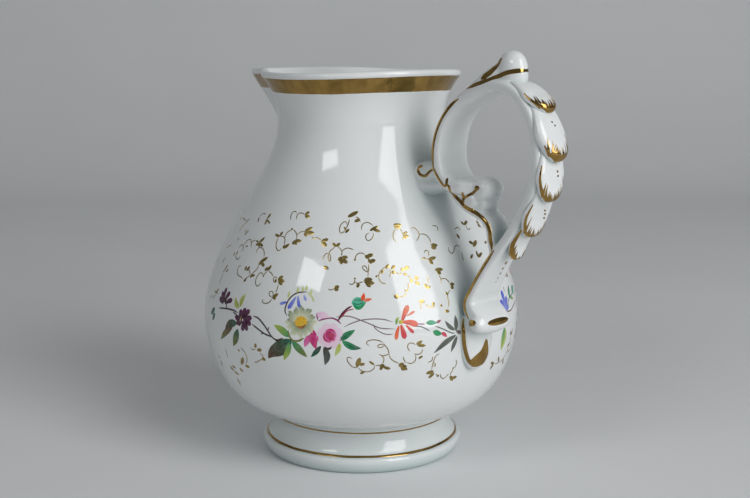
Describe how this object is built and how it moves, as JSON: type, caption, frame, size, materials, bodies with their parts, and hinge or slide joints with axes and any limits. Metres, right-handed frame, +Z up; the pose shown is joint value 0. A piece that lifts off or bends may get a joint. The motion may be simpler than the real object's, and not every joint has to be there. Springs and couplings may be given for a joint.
{
  "type": "milk jug",
  "caption": "Pear-shaped glazed porcelain milk jug on a foot ring, with a pulled spout, a scroll handle with overlapping leaves and a thumb knop, and gilt bands.",
  "frame": {"origin": "middle of the jug's footprint box, on the table that the foot ring stands on", "axes": "+Z up along the jug's axis, +X towards the handle, -X towards the spout; the jug's axis is the line x = -0.01859, y = 0"},
  "size_m": [0.165, 0.1258, 0.1594],
  "materials": {
    "porcelain": "clear glossy glaze over white porcelain",
    "gilding": "burnished gold"
  },
  "bodies": {
    "root": {"body": "porcelain", "rim_gilding": "gilding", "foot_ring": "porcelain", "foot_gilding": "gilding", "back_strap": "porcelain", "upper_scroll": "porcelain", "scroll_volute": "porcelain", "lower_scroll": "porcelain", "thumb_knop": "porcelain", "neck_pad": "porcelain", "tail_roll": "porcelain", "tail_tongue": "porcelain", "back_leaf_1": "porcelain", "back_leaf_2": "porcelain", "back_leaf_3": "porcelain", "back_leaf_4": "porcelain", "back_leaf_5": "porcelain"}
  },
  "joints": []
}
